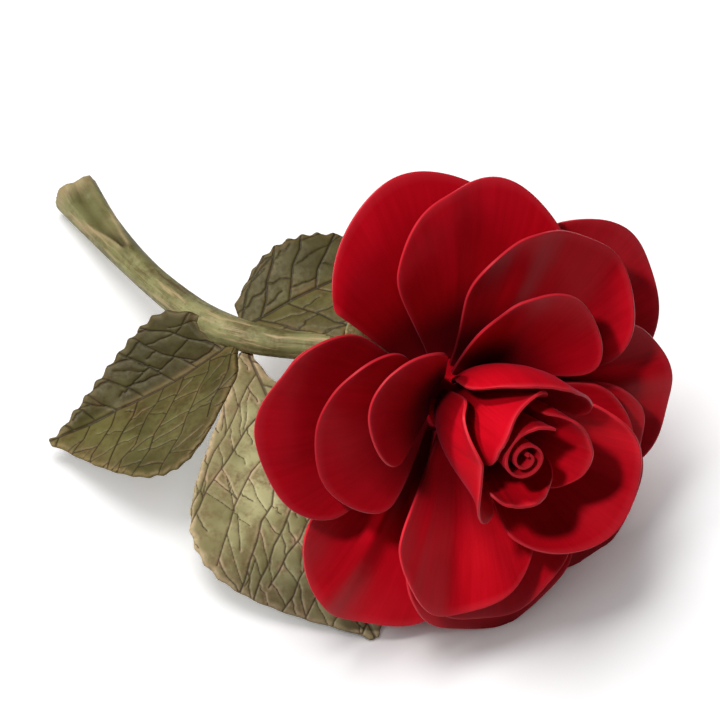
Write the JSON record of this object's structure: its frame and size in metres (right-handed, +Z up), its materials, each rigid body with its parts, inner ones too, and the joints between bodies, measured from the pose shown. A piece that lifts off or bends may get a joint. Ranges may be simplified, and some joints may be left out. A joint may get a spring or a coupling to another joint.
{
  "type": "porcelain rose",
  "caption": "Full rose bloom of thin separate porcelain petals in nested rings round a spiral bud, on a bent cut stem with scalloped, veined leaves, made to lie on a table as an ornament.",
  "frame": {"origin": "on the table under the middle of the rose's box", "axes": "+X from the cut end of the stem towards the bloom, +Y towards the back of the bloom, +Z up from the table"},
  "size_m": [0.156, 0.1344, 0.1014],
  "materials": {
    "red_porcelain": "satin",
    "green_porcelain": "painted and glazed",
    "steel": "plain drawn dowel"
  },
  "bodies": {
    "root": {"guard_petal_1": "red_porcelain", "guard_petal_2": "red_porcelain", "guard_petal_3": "red_porcelain", "guard_petal_4": "red_porcelain", "guard_petal_5": "red_porcelain", "outer_petal_1": "red_porcelain", "outer_petal_2": "red_porcelain", "outer_petal_3": "red_porcelain", "outer_petal_4": "red_porcelain", "middle_petal_1": "red_porcelain", "middle_petal_2": "red_porcelain", "middle_petal_3": "red_porcelain", "middle_petal_4": "red_porcelain", "inner_petal_1": "red_porcelain", "inner_petal_2": "red_porcelain", "inner_petal_3": "red_porcelain", "inner_petal_4": "red_porcelain", "cup_petal_1": "red_porcelain", "cup_petal_2": "red_porcelain", "cup_petal_3": "red_porcelain", "bud_petal_1": "red_porcelain", "bud_petal_2": "red_porcelain", "bud_petal_3": "red_porcelain", "bud_scroll": "red_porcelain", "petal_core": "red_porcelain", "calyx_cup": "green_porcelain", "sepal_1": "green_porcelain", "sepal_2": "green_porcelain", "sepal_3": "green_porcelain", "sepal_4": "green_porcelain", "sepal_5": "green_porcelain", "stem": "green_porcelain", "leaf_left": "green_porcelain", "leaf_top": "green_porcelain", "leaf_front": "green_porcelain", "neck_pin": "steel"}
  },
  "joints": []
}
